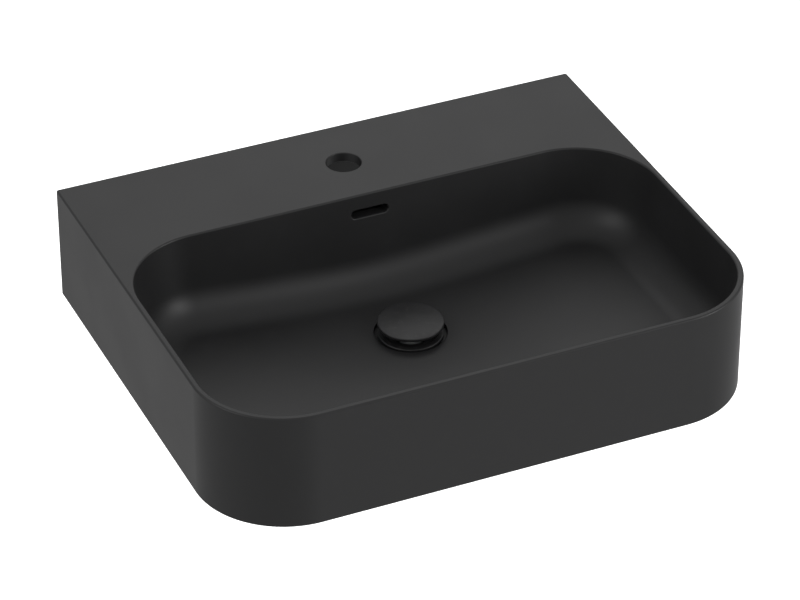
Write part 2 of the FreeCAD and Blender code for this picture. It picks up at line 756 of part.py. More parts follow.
# a rib stands each side of every spline
plan = on_plane(barrel, "rib_plan", "XY_Plane", rib_low)
rib_from = size["spline_width"] / 2 + size["rib_gap"]
rib_to = rib_from + size["rib_width"]
rib_end = barrel_bore + size["weld_depth"]
outline(plan, [(rib_radius, rib_from), (rib_end, rib_from), (rib_end, rib_to), (rib_radius, rib_to)])
rib = pad(barrel, plan, "rib", lid_low - rib_low)
repeat(barrel, rib, "ribs", 4)
plan = on_plane(barrel, "rib_plan_other_side", "XY_Plane", rib_low)
outline(plan, [(rib_radius, -rib_to), (rib_end, -rib_to), (rib_end, -rib_from), (rib_radius, -rib_from)])
rib = pad(barrel, plan, "rib_other_side", lid_low - rib_low)
repeat(barrel, rib, "ribs_other_side", 4)

ring("barrel_washer", ring_bore, collar_radius, ring_top, collar_low)
nut_bore = size["barrel_radius"] + size["thread_play"]
flats = (size["barrel_radius"] + size["barrel_nut_wall"]) * 2
barrel_nut = hexagon("barrel_nut", flats, nut_bore, ring_low - size["barrel_nut_height"], ring_low)
place(barrel_nut, y=waste_y, z=seat_z)
ring("barrel_plug", size["plug_drain"], barrel_bore - size["thread_play"], barrel_low, plug_top)

plunger = turned_piece("plunger", [
    (0, guide_low),
    (guide_radius, guide_low),
    (guide_radius, guide_top),
    (size["rod_radius"], guide_top),
    (size["rod_radius"], rod_top),
    (size["stud_radius"], rod_top),
    (size["stud_radius"], stud_top),
    (0, stud_top),
])
plan = on_plane(plunger, "spline_plan", "XY_Plane", guide_low)
half = size["spline_width"] / 2
spline_start = guide_radius - size["weld_depth"]
outline(plan, [(spline_start, -half), (spline_end, -half), (spline_end, half), (spline_start, half)])
spline = pad(plunger, plan, "spline", size["guide_height"])
repeat(plunger, spline, "splines", 4)

rotor = turned_piece("rotor", [
    (0, rotor_low - size["tail_length"]),
    (size["tail_radius"], rotor_low - size["tail_length"]),
    (size["tail_radius"], rotor_low),
    (rotor_radius, rotor_low),
    (rotor_radius, rotor_top),
    (0, rotor_top),
])
plan = on_plane(rotor, "notch_plan", "XY_Plane", rotor_top)
half = size["notch_width"] / 2
notch_start = size["tail_radius"]
notch_end = rotor_radius + size["rotor_gap"]
outline(plan, [(notch_start, -half), (notch_end, -half), (notch_end, half), (notch_start, half)])
notch = pocket(rotor, plan, "notch", size["notch_depth"])
repeat(rotor, notch, "notches", 4)

# the spring: a helix from the plug to the rotor
spring_low = plug_top + size["spring_seat_gap"] + size["wire_radius"]
spring_high = rotor_low - size["spring_seat_gap"] - size["wire_radius"]
spring = new_body("click_spring")
section = on_plane(spring, "spring_wire", "XZ_Plane")
circle(section, size["wire_radius"], x=spring_radius)
coils = spring.newObject("PartDesign::AdditiveHelix", "spring_coils")
coils.Profile = section
coils.ReferenceAxis = (section, ["V_Axis"])
coils.Mode = "pitch-height-angle"
bind(coils, Height=spring_high - spring_low)
bind(coils, Pitch=(spring_high - spring_low) / size["spring_turns"])
place(spring, y=waste_y, z=seat_z + spring_low)


# ---------------------------------------------------------------- wall fixings, two of each
flange_face = -size["back_wall"]
washer_face = flange_face - size["bush_flange_height"]
nut_face = washer_face - size["washer_height"]
nut_end = nut_face - size["bolt_nut_height"]


def spun(name, points):
    body = new_body(name)
    profile = on_plane(body, name + "_profile", "XZ_Plane")
    outline(profile, points)
    turn(body, profile, name + "_turned")
    return body


def hanger_bolt(name):
    return spun(name, [
        (0, -size["bolt_in_basin"]),
        (size["bolt_radius"], -size["bolt_in_basin"]),
        (size["bolt_radius"], dim(0)),
        (size["wood_radius"], dim(0)),
        (size["wood_radius"], size["bolt_in_wall"] - size["bolt_tip"]),
        (0, size["bolt_in_wall"]),
    ])


def bush(name):
    return spun(name, [
        (bolt_bore, washer_face),
        (fixing_hole + size["bush_lap"], washer_face),
        (fixing_hole + size["bush_lap"], flange_face),
        (fixing_hole - size["bush_play"], flange_face),
        (fixing_hole - size["bush_play"], -size["bush_end_gap"]),
        (bolt_bore, -size["bush_end_gap"]),
    ])


def washer(name):
    outer = bolt_bore + size["washer_lap"]
    return spun(name, [
        (bolt_bore, nut_face),
        (outer, nut_face),
        (outer, washer_face),
        (bolt_bore, washer_face),
    ])


def bolt_nut(name):
    flats = (size["bolt_radius"] + size["bolt_nut_wall"]) * 2
    return hexagon(name, flats, size["bolt_radius"] + size["thread_play"], nut_end, nut_face)


pair("wall_bolts", hanger_bolt)
pair("bolt_bushes", bush)
pair("bolt_washers", washer)
pair("bolt_nuts", bolt_nut)


# ---------------------------------------------------------------- test and write
NODES = (
    "basin", "waste_body", "flange_gasket", "tapered_gasket", "slip_washer", "back_nut",
    "waste_cap", "cap_seal", "cap_locknut", "plunger", "rotor", "click_spring",
    "barrel", "barrel_washer", "barrel_nut", "barrel_plug",
    "wall_bolts", "bolt_bushes", "bolt_washers", "bolt_nuts",
)
doc.recompute()
for thing in doc.Objects:
    assert "Invalid" not in thing.State and "Error" not in thing.State, (thing.Name, thing.State)
os.makedirs("parts", exist_ok=True)
pieces = {name: doc.getObjectsByLabel(name)[0] for name in NODES}
for name, piece in pieces.items():
    shape = piece.Shape
    assert not shape.isNull() and shape.isValid() and shape.Solids, name
    box = shape.BoundBox
    print(f"{name:15s} {len(shape.Solids)} solid(s)  {shape.Volume:12.1f} mm3",
          [round(v, 2) for v in (box.XMin, box.XMax, box.YMin, box.YMax, box.ZMin, box.ZMax)])
for name, piece in pieces.items():
    piece.Shape.exportStep(f"parts/{name}.step")
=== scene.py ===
import json
from math import atan2, cos, hypot, pi, radians, sin, sqrt, tan

import bmesh
import bpy
from mathutils import Matrix, Vector, geometry

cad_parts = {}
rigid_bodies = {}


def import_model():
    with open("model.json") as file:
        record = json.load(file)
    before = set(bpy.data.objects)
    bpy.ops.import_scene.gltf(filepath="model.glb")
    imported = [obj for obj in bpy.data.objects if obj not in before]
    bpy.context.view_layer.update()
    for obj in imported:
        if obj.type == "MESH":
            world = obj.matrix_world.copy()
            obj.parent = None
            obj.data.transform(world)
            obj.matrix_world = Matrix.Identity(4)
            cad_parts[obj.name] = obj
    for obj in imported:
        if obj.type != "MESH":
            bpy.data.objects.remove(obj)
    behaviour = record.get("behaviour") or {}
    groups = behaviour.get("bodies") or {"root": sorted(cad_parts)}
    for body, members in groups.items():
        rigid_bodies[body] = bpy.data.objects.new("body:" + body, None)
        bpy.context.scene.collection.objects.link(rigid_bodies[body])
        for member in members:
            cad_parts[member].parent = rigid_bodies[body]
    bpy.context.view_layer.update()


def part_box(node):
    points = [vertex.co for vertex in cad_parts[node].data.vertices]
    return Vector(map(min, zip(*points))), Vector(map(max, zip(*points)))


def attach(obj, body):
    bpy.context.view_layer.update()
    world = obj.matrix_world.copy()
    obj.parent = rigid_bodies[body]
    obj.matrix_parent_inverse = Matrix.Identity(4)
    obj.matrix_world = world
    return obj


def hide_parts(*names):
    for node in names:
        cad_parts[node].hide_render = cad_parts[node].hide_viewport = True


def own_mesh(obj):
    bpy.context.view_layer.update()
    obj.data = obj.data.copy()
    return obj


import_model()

# places taken from the frame: the wall plane is y = 0, the waste's axis is upright
low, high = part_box("basin")
capLow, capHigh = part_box("waste_cap")
bodyLow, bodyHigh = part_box("waste_body")
gasketLow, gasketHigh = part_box("flange_gasket")
rimZ = high.z
baseZ = low.z
halfWidth = high.x
frontY = low.y
wasteY = (capLow.y + capHigh.y) / 2
seatZ = gasketLow.z
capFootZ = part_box("cap_locknut")[1].z   # underside of the cap's boss
mm = 0.001


# ---- small mesh helpers

def makePiece(name, verts, faces, smoothAngle=30):
    mesh = bpy.data.meshes.new(name)
    mesh.from_pydata([tuple(v) for v in verts], [], faces)
    return finishMesh(name, mesh, smoothAngle)


def finishMesh(name, mesh, smoothAngle=30):
    bm = bmesh.new()
    bm.from_mesh(mesh)
    bmesh.ops.remove_doubles(bm, verts=bm.verts, dist=2e-6)
    bmesh.ops.dissolve_degenerate(bm, edges=bm.edges, dist=1e-6)
    bmesh.ops.recalc_face_normals(bm, faces=bm.faces)
    bm.to_mesh(mesh)
    bm.free()
    piece = bpy.data.objects.new(name, mesh)
    bpy.context.scene.collection.objects.link(piece)
    if smoothAngle:
        shadeSmooth(piece, smoothAngle)
    return piece


def shadeSmooth(piece, angle):
    mesh = piece.data
    mesh.shade_smooth()
    mesh.set_sharp_from_angle(angle=radians(angle))
    weighted = piece.modifiers.new("flats stay flat", "WEIGHTED_NORMAL")   # large flats win over thin fillets
    weighted.keep_sharp = True
    weighted.weight = 100
    applyModifiers(piece)


def applyModifiers(piece):
    graph = bpy.context.evaluated_depsgraph_get()
    mesh = bpy.data.meshes.new_from_object(piece.evaluated_get(graph), depsgraph=graph)
    piece.modifiers.clear()
    old = piece.data
    piece.data = mesh
    mesh.name = piece.name
    bpy.data.meshes.remove(old)


def roundPath(points, closed=True, steps=6):
    # points are (x, y) or (x, y, radius): corners with a radius become arcs
    out = []
    count = len(points)
    for i, point in enumerate(points):
        radius = point[2] if len(point) > 2 else 0
        here = Vector(point[:2])
        if radius <= 0 or (not closed and i in (0, count - 1)):
            out.append(here)
            continue
        back = (Vector(points[i - 1][:2]) - here).normalized()
        on = (Vector(points[(i + 1) % count][:2]) - here).normalized()
        half = back.angle(on) / 2
        reach = radius / tan(half)
        centre = here + (back + on).normalized() * (radius / sin(half))
        a = here + back * reach - centre
        b = here + on * reach - centre
        turn = a.angle_signed(b)
        for k in range(steps + 1):
            out.append(centre + Matrix.Rotation(-turn * k / steps, 2) @ a)
    return out


def spin(name, profile, segments=96, at=(0, wasteY), lift=seatZ, smoothAngle=30, closed=True):
    # turns a profile of (radius, height) in millimetres once round an upright axis
    verts = []
    faces = []
    count = len(profile)
    for s in range(segments):
        a = 2 * pi * s / segments
        for point in profile:
            radius = point[0] * mm
            verts.append((at[0] + radius * cos(a), at[1] + radius * sin(a), lift + point[1] * mm))
    for s in range(segments):
        this = s * count
        nextOne = ((s + 1) % segments) * count
        for i in range(count if closed else count - 1):
            j = (i + 1) % count
            faces.append((this + i, nextOne + i, nextOne + j, this + j))
    return makePiece(name, verts, faces, smoothAngle)


def weld(name, pieces, smoothAngle=30):
    # one mesh from several that are already in place; touching rims become one
    bm = bmesh.new()
    for piece in pieces:
        bm.from_mesh(piece.data)
    mesh = bpy.data.meshes.new(name)
    bm.to_mesh(mesh)
    bm.free()
    for piece in pieces:
        bpy.data.objects.remove(piece)
    return finishMesh(name, mesh, smoothAngle)


def move(piece, x=0, y=0, z=0):
    piece.data.transform(Matrix.Translation((x, y, z)))
    return piece


def outline(left, right, near, far, front, back, turnSteps=24, across=1, along=1):
    # a rounded rectangle as pairs of point and inward normal; front and back are its corner radii
    corners = ((left, near, front, 180), (right, near, front, 270), (right, far, back, 0), (left, far, back, 90))
    centres = []
    for x, y, radius, start in corners:
        centres.append(Vector((x + radius if x == left else x - radius, y + radius if y == near else y - radius)))
    pairs = []
    for i, (x, y, radius, start) in enumerate(corners):
        for k in range(turnSteps + 1):
            a = radians(start + 90 * k / turnSteps)
            away = Vector((cos(a), sin(a)))
            pairs.append((centres[i] + away * radius, -away))
        steps = across if i in (0, 2) else along
        begin = pairs[-1][0]
        end = centres[(i + 1) % 4] + away * corners[(i + 1) % 4][2]
        for k in range(1, steps):
            pairs.append((begin.lerp(end, k / steps), -away))
    return pairs


def level(pairs, inset, z):
    return [(*(point + normal * inset), z) for point, normal in pairs]


def loft(name, rings, smoothAngle=None):
    # skins rings of equal count and closes both ends
    verts = [v for ring in rings for v in ring]
    count = len(rings[0])
    faces = [tuple(range(count)), tuple(range(len(verts) - count, len(verts)))]
    for r in range(len(rings) - 1):
        for i in range(count):
            j = (i + 1) % count
            faces.append((r * count + i, r * count + j, (r + 1) * count + j, (r + 1) * count + i))
    return makePiece(name, verts, faces, smoothAngle)


def prismX(name, points, halfLength):
    # a prism along X through points of (y, z)
    return loft(name, [[(x, y, z) for y, z in points] for x in (-halfLength, halfLength)])


def hexNut(name, flats, bore, foot, top, at=(0, wasteY), lift=seatZ):
    # a chamfered nut: a spun profile whose outer radius follows the hexagon
    steps = 96
    face = flats / 2 * 0.95
    edge = min(0.5, (top - foot) * 0.12)
    verts = []
    faces = []
    for s in range(steps):
        a = 2 * pi * s / steps
        outer = flats / 2 / cos((a % (pi / 3)) - pi / 6)
        drop = (outer - face) * tan(radians(25))
        rows = ((bore, foot + edge), (bore + edge, foot), (face, foot), (outer, foot + drop),
                (outer, top - drop), (face, top), (bore + edge, top), (bore, top - edge))
        for radius, z in rows:
            verts.append((at[0] + radius * mm * cos(a), at[1] + radius * mm * sin(a), lift + z * mm))
    count = 8
    for s in range(steps):
        this = s * count
        nextOne = ((s + 1) % steps) * count
        for i in range(count):
            j = (i + 1) % count
            faces.append((this + i, nextOne + i, nextOne + j, this + j))
    return makePiece(name, verts, faces, 24)


def cutOut(piece, tools, smoothAngle=30, how="DIFFERENCE"):
    for tool in tools:
        cut = piece.modifiers.new("cut", "BOOLEAN")
        cut.object = tool
        cut.operation = how
        cut.solver = "EXACT"
        applyModifiers(piece)
    for tool in tools:
        bpy.data.objects.remove(tool)
    bm = bmesh.new()
    bm.from_mesh(piece.data)
    bmesh.ops.remove_doubles(bm, verts=bm.verts, dist=2e-6)
    bmesh.ops.dissolve_degenerate(bm, edges=bm.edges, dist=1e-6)
    bm.to_mesh(piece.data)
    bm.free()
    if smoothAngle:
        shadeSmooth(piece, smoothAngle)
    return piece


def turnToWall(piece, x):
    # a piece made upright round the origin goes to a wall bolt, its top towards the wall
    piece.data.transform(Matrix.Translation((x, 0, 0)) @ Matrix.Rotation(radians(-90), 4, "X"))
    return piece


# ---- materials

def addNode(tree, kind, links=None, **props):
    made = tree.nodes.new(kind)
    for key, value in props.items():
        setattr(made, key, value)
    for socket, source in (links or {}).items():
        if isinstance(source, bpy.types.NodeSocket):
            tree.links.new(source, made.inputs[socket])
        else:
            made.inputs[socket].default_value = source
    return made


# scales are features per metre; bump and wave are heights in metres
finishes = {
    "ceramic": {"color": (0.0150, 0.0150, 0.0155), "tint": 0.04, "worn": (0.030, 0.030, 0.030), "wear": 0.10,
                "rough": (0.43, 0.46), "wearRough": 0.06, "metal": 0.0, "specular": 0.42, "grain": 900.0,
                "bump": 9e-6, "cloud": 14.0, "wave": 0.000012, "spots": 55.0, "stretch": (1.0, 1.0, 1.0)},
    "black_metal": {"color": (0.0170, 0.0170, 0.0178), "tint": 0.10, "worn": (0.060, 0.058, 0.055), "wear": 0.30,
                    "rough": (0.36, 0.46), "wearRough": -0.08, "metal": 0.0, "specular": 0.45, "grain": 1600.0,
                    "bump": 6e-6, "cloud": 40.0, "wave": 0.00002, "spots": 160.0, "stretch": (1.0, 1.0, 1.0)},
    "brass": {"color": (0.58, 0.43, 0.19), "tint": 0.16, "worn": (0.25, 0.19, 0.10), "wear": 0.55,
              "rough": (0.24, 0.38), "wearRough": 0.22, "metal": 1.0, "specular": 0.5, "grain": 700.0,
              "bump": 8e-6, "cloud": 60.0, "wave": 0.00002, "spots": 220.0, "stretch": (1.0, 1.0, 9.0)},
    "rubber": {"color": (0.022, 0.022, 0.022), "tint": 0.20, "worn": (0.085, 0.083, 0.080), "wear": 0.35,
               "rough": (0.62, 0.78), "wearRough": 0.08, "metal": 0.0, "specular": 0.35, "grain": 1500.0,
               "bump": 18e-6, "cloud": 50.0, "wave": 0.00003, "spots": 180.0, "stretch": (1.0, 1.0, 1.0)},
    "white_plastic": {"color": (0.74, 0.74, 0.71), "tint": 0.04, "worn": (0.50, 0.49, 0.45), "wear": 0.30,
                      "rough": (0.38, 0.50), "wearRough": 0.15, "metal": 0.0, "specular": 0.5, "grain": 1200.0,
                      "bump": 10e-6, "cloud": 40.0, "wave": 0.00003, "spots": 150.0, "stretch": (1.0, 1.0, 1.0)},
    "grey_plastic": {"color": (0.26, 0.27, 0.28), "tint": 0.08, "worn": (0.36, 0.36, 0.35), "wear": 0.30,
                     "rough": (0.42, 0.55), "wearRough": 0.12, "metal": 0.0, "specular": 0.5, "grain": 1200.0,
                     "bump": 10e-6, "cloud": 40.0, "wave": 0.00003, "spots": 150.0, "stretch": (1.0, 1.0, 1.0)},
    "spring_steel": {"color": (0.55, 0.55, 0.54), "tint": 0.08, "worn": (0.34, 0.33, 0.31), "wear": 0.35,
                     "rough": (0.20, 0.30), "wearRough": 0.20, "metal": 1.0, "specular": 0.5, "grain": 2600.0,
                     "bump": 4e-6, "cloud": 120.0, "wave": 0.00001, "spots": 400.0, "stretch": (1.0, 1.0, 4.0)},
    "zinc_steel": {"color": (0.60, 0.60, 0.57), "tint": 0.12, "worn": (0.38, 0.36, 0.31), "wear": 0.45,
                   "rough": (0.30, 0.44), "wearRough": 0.18, "metal": 1.0, "specular": 0.5, "grain": 1100.0,
                   "bump": 9e-6, "cloud": 70.0, "wave": 0.00002, "spots": 240.0, "stretch": (1.0, 1.0, 1.0)},
    "backdrop": {"color": (0.86, 0.86, 0.86), "tint": 0.01, "worn": (0.82, 0.82, 0.82), "wear": 0.20,
                 "rough": (0.75, 0.85), "wearRough": 0.05, "metal": 0.0, "specular": 0.2, "grain": 60.0,
                 "bump": 50e-6, "cloud": 2.0, "wave": 0.0001, "spots": 6.0, "stretch": (1.0, 1.0, 1.0)},
}


def surface(name, look):
    # grain and waves in the bump, clouds in colour and roughness, and scattered worn or filmed spots
    material = bpy.data.materials.new(name)
    material.use_nodes = True
    tree = material.node_tree
    shader = tree.nodes["Principled BSDF"]
    place = addNode(tree, "ShaderNodeTexCoord").outputs["Object"]
    drawn = addNode(tree, "ShaderNodeMapping", {"Vector": place, "Scale": look["stretch"]}).outputs[0]

    def noise(vector, scale, detail):
        return addNode(tree, "ShaderNodeTexNoise", {"Vector": vector, "Scale": scale, "Detail": detail}).outputs[0]

    def remap(value, low, high, newLow, newHigh):
        ends = {0: value, 1: low, 2: high, 3: newLow, 4: newHigh}
        return addNode(tree, "ShaderNodeMapRange", ends).outputs[0]

    def blend(factor, a, b):
        mixed = addNode(tree, "ShaderNodeMix", {0: factor, 6: a, 7: b}, data_type="RGBA")
        return mixed.outputs[2]

    grain = noise(drawn, look["grain"], 3.0)
    cloud = noise(place, look["cloud"], 2.0)
    worn = remap(noise(place, look["spots"], 5.0), 0.56, 0.74, 0.0, look["wear"])
    dark = [c * (1 - look["tint"]) for c in look["color"]] + [1.0]
    light = [c * (1 + look["tint"]) for c in look["color"]] + [1.0]
    base = blend(remap(cloud, 0.35, 0.65, 0.0, 1.0), dark, light)
    base = blend(worn, base, (*look["worn"], 1.0))
    rough = remap(cloud, 0.35, 0.65, *look["rough"])
    rough = addNode(tree, "ShaderNodeMath", {0: worn, 1: look["wearRough"], 2: rough}, operation="MULTIPLY_ADD")
    wave = addNode(tree, "ShaderNodeBump", {"Height": cloud, "Distance": look["wave"], "Strength": 1.0})
    fine = {"Height": grain, "Distance": look["bump"], "Strength": 1.0, "Normal": wave.outputs[0]}
    fine = addNode(tree, "ShaderNodeBump", fine)
    tree.links.new(base, shader.inputs["Base Color"])
    tree.links.new(rough.outputs[0], shader.inputs["Roughness"])
    tree.links.new(fine.outputs[0], shader.inputs["Normal"])
    shader.inputs["Metallic"].default_value = look["metal"]
    shader.inputs["Specular IOR Level"].default_value = look["specular"]
    return material


coats = {name: surface(name, look) for name, look in finishes.items()}


def fit(piece, node, body, slot):
    # hands a finished piece over: its material, its slot, what it stands in for and what it rides on
    piece.data.materials.clear()
    piece.data.materials.append(coats[slot])
    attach(piece, body)
    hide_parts(node)
    print(f"{node}: {len(piece.data.polygons)} faces")
    return piece


# ---- node trees: threads, coils and rings of equal features

class Tree:
    # a geometry node tree that is written line by line
    def __init__(self, name, inputs, material):
        self.group = bpy.data.node_groups.new(name, "GeometryNodeTree")
        self.group.interface.new_socket("Geometry", in_out="INPUT", socket_type="NodeSocketGeometry")
        self.group.interface.new_socket("Geometry", in_out="OUTPUT", socket_type="NodeSocketGeometry")
        self.ids = {}
        for key, kind, value in inputs:
            socket = self.group.interface.new_socket(key, in_out="INPUT", socket_type="NodeSocket" + kind)
            socket.default_value = value
            self.ids[key] = socket.identifier
        self.start = self.group.nodes.new("NodeGroupInput")
        self.end = self.group.nodes.new("NodeGroupOutput")
        self.material = material

    def node(self, kind, links=None, **props):
        return addNode(self.group, kind, links, **props)

    def calc(self, operation, a, b=0.0):
        return self.node("ShaderNodeMath", {0: a, 1: b}, operation=operation).outputs[0]

    def given(self, key):
        return self.start.outputs[key]

    def close(self, shape):
        solid = self.node("GeometryNodeRealizeInstances", {0: shape})
        coated = self.node("GeometryNodeSetMaterial", {"Geometry": solid.outputs[0], "Material": self.material})
        self.group.links.new(coated.outputs[0], self.end.inputs[0])


def growFrom(tree, name, base=None, **sizes):
    # runs a tree and keeps the plain mesh
    mesh = base if base else bpy.data.meshes.new(name)
    piece = bpy.data.objects.new(name, mesh)
    bpy.context.scene.collection.objects.link(piece)
    grown = piece.modifiers.new("nodes", "NODES")
    grown.node_group = tree.group
    for key, value in sizes.items():
        grown[tree.ids[key]] = value
    applyModifiers(piece)
    return piece


def threadTree(material):
    # a threaded sleeve: rows of the grid follow the helix, and both ends run out to a plain ring
    inputs = [("Radius", "Float", 0.02), ("Depth", "Float", 0.001), ("Pitch", "Float", 0.002),
              ("Length", "Float", 0.03), ("EndRadius", "Float", 0.02), ("Around", "Int", 96), ("PerTurn", "Int", 8)]
    t = Tree("thread", inputs, material)
    pitch, length, perTurn = t.given("Pitch"), t.given("Length"), t.given("PerTurn")
    turns = t.calc("ADD", t.calc("CEIL", t.calc("DIVIDE", length, pitch)), 2.0)
    rows = t.calc("ADD", t.calc("MULTIPLY", turns, perTurn), 1.0)
    grid = t.node("GeometryNodeMeshGrid", {"Size X": 1.0, "Size Y": 1.0, "Vertices Y": rows,
                                           "Vertices X": t.calc("ADD", t.given("Around"), 1.0)})
    place = t.node("ShaderNodeSeparateXYZ", {0: t.node("GeometryNodeInputPosition").outputs[0]})
    across = t.calc("ADD", place.outputs[0], 0.5)
    climb = t.calc("MULTIPLY", t.calc("ADD", place.outputs[1], 0.5), turns)        # turns, row by row
    free = t.calc("MULTIPLY", t.calc("SUBTRACT", t.calc("ADD", climb, across), 1.5), pitch)
    level = t.calc("MAXIMUM", t.calc("MINIMUM", free, length), 0.0)
    ridge = t.calc("SUBTRACT", t.calc("MULTIPLY", t.calc("PINGPONG", t.calc("ADD", climb, 0.25), 0.5), 2.6), 0.15)
    ridge = t.calc("MAXIMUM", t.calc("MINIMUM", ridge, 1.0), 0.0)                   # flat crests and roots
    runOut = t.calc("MINIMUM", level, t.calc("SUBTRACT", length, level))
    runOut = t.calc("MINIMUM", t.calc("DIVIDE", runOut, t.calc("MULTIPLY", pitch, 0.6)), 1.0)
    crest = t.calc("SUBTRACT", t.given("Radius"), t.calc("MULTIPLY", t.calc("SUBTRACT", 1.0, ridge), t.given("Depth")))
    spread = t.calc("SUBTRACT", crest, t.given("EndRadius"))
    radius = t.calc("ADD", t.given("EndRadius"), t.calc("MULTIPLY", spread, runOut))
    angle = t.calc("MULTIPLY", across, 2 * pi)
    spot = t.node("ShaderNodeCombineXYZ", {0: t.calc("MULTIPLY", radius, t.calc("COSINE", angle)),
                                           1: t.calc("MULTIPLY", radius, t.calc("SINE", angle)), 2: level})
    moved = t.node("GeometryNodeSetPosition", {"Geometry": grid.outputs[0], "Position": spot.outputs[0]})
    merged = t.node("GeometryNodeMergeByDistance", {"Geometry": moved.outputs[0], "Distance": 2e-6})
    t.close(merged.outputs[0])
    return t


def coilTree(material):
    inputs = [("Radius", "Float", 0.006), ("Wire", "Float", 0.0005), ("Height", "Float", 0.02), ("Turns", "Float", 6.0)]
    t = Tree("coil", inputs, material)
    line = t.node("GeometryNodeCurveSpiral", {"Resolution": 36, "Rotations": t.given("Turns"), "Reverse": False,
                                              "Start Radius": t.given("Radius"), "End Radius": t.given("Radius"),
                                              "Height": t.given("Height")})
    ring = t.node("GeometryNodeCurvePrimitiveCircle", {"Resolution": 14, "Radius": t.given("Wire")})
    wire = t.node("GeometryNodeCurveToMesh", {0: line.outputs[0], "Profile Curve": ring.outputs[0], "Fill Caps": True})
    t.close(wire.outputs[0])
    return t


def aroundTree(material):
    # stands copies of the given mesh round the upright axis
    t = Tree("around", [("Count", "Int", 4), ("Turn", "Float", 0.0)], material)
    line = t.node("GeometryNodeMeshLine", {"Count": t.given("Count"), "Offset": (0.0, 0.0, 0.0)})
    step = t.calc("DIVIDE", 2 * pi, t.given("Count"))
    angle = t.calc("ADD", t.calc("MULTIPLY", t.node("GeometryNodeInputIndex").outputs[0], step), t.given("Turn"))
    facing = t.node("ShaderNodeCombineXYZ", {2: angle})
    copies = t.node("GeometryNodeInstanceOnPoints", {"Points": line.outputs[0], "Instance": t.given("Geometry"),
                                                     "Rotation": facing.outputs[0]})
    t.close(copies.outputs[0])
    return t


def threaded(name, slot, at, foot, **sizes):
    # a threaded stretch: sizes in millimetres, its foot at a height
    tree = threadTree(coats[slot])
    whole = ("Around", "PerTurn")
    given = {key: value if key in whole else value * mm for key, value in sizes.items()}
    return move(growFrom(tree, name, **given), at[0], at[1], foot)


def ringOf(piece, slot, count, turn=0.0):
    # copies of a small mesh round the upright axis
    return growFrom(aroundTree(coats[slot]), piece.name + "Ring", piece.data, Count=count, Turn=turn)


def block(name, x, y, z):
    # a box with hairline chamfers, from pairs of ends in millimetres
    ends = [[v * mm for v in pair] for pair in (x, y, z)]
    soft = 0.12 * mm
    pairs = outline(*ends[0], *ends[1], soft, soft, 1)
    rows = ((soft, ends[2][0]), (0, ends[2][0] + soft), (0, ends[2][1] - soft), (soft, ends[2][1]))
    return loft(name, [level(pairs, inset, height) for inset, height in rows], 30)


# ---- basin: a rounded block, less the bowl, the room below, the overflow and the holes

basinSizes = {
    "frontRadius": 89.0, "backRadius": 2.4, "rimRound": 2.0, "baseRound": 0.8,
    "rimWidth": 6.0, "shelf": 128.5, "bowlCorner": 83.0, "draft": 9.0, "fillet": 40.0,
    "fall": 0.084, "underFloor": 17.0, "deck": 10.0, "skin": 8.0, "apron": 7.0, "backWall": 14.0,
    "tapRadius": 17.5, "tapFromWall": 67.0, "holeRound": 1.0,
    "slotLength": 39.0, "slotHeight": 8.6, "slotDrop": 19.7,
    "ductHalf": 22.0, "ductGap": 10.0, "ductLow": 6.0, "ductHead": 3.0, "ductWall": 6.0, "ductFloor": 5.0,
    "recess": 35.5, "recessRound": 0.6, "wasteHole": 23.0, "boss": 38.0, "fixingHole": 10.0, "boltSpacing": 280.0,
}
lean = radians(basinSizes["draft"])
size = {key: value * mm for key, value in basinSizes.items()}
lowPoint = baseZ + size["underFloor"]
fall = basinSizes["fall"]
waste = Vector((0, wasteY))


def mouth(radius, draft, lift):
    # section of a rounded mouth as (inset, depth), from above the surface down to the drafted wall
    middle = -radius * (1 - sin(draft)) / cos(draft)
    last = radians(86)
    inset = middle + radius * cos(last) - 0.1 * radius
    rows = [(inset, -lift), (inset, radius * (1 - sin(last)) - 0.1 * radius / tan(last))]
    for k in range(10):
        a = last + (draft - last) * k / 9
        rows.append((middle + radius * cos(a), radius * (1 - sin(a))))
    return rows


def bowlRings(grow, rows, endRadius):
    # rings of the drafted wall, the fillet and the falling floor, down to a circle round the waste
    radius = size["fillet"] + grow
    side = halfWidth - size["rimWidth"] + grow
    corner = size["bowlCorner"] + grow
    pairs = outline(-side, side, frontY + size["rimWidth"] - grow, grow - size["shelf"], corner, corner, 26, 36, 18)
    columns = []
    away = []
    for point, normal in pairs:
        column = [(*(point + normal * inset), rimZ - depth) for inset, depth in rows]
        reach = radius
        for _ in range(10):
            out = point + normal * reach - waste
            slope = fall * normal.dot(out) / out.length
            floorZ = lowPoint - grow + fall * out.length
            tilt = sqrt(1 + slope * slope)
            rise = rimZ + radius * sin(lean) - floorZ - radius * tilt - slope * (radius * cos(lean) - reach)
            along = rise / (cos(lean) + slope * sin(lean))
            middle = Vector((along * sin(lean) + radius * cos(lean), rimZ - along * cos(lean) + radius * sin(lean)))
            reach = middle.x + radius * slope / tilt
        top = Vector((rows[-1][0], rimZ - rows[-1][1]))
        touch = Vector((along * sin(lean), rimZ - along * cos(lean)))
        for k in range(1, 9):
            spot = top.lerp(touch, k / 8)
            column.append((*(point + normal * spot.x), spot.y))
        first = lean - pi
        last = atan2(-1, slope)
        for k in range(1, 17):
            a = first + (last - first) * k / 16
            column.append((*(point + normal * (middle.x + radius * cos(a))), middle.y + radius * sin(a)))
        foot = point + normal * reach
        direction = (foot - waste).normalized()
        for k in range(1, 17):
            spot = foot.lerp(waste + direction * endRadius, k / 16)
            column.append((*spot, lowPoint - grow + fall * (spot - waste).length))
        columns.append(column)
        away.append(direction)
    return [list(ring) for ring in zip(*columns)], away


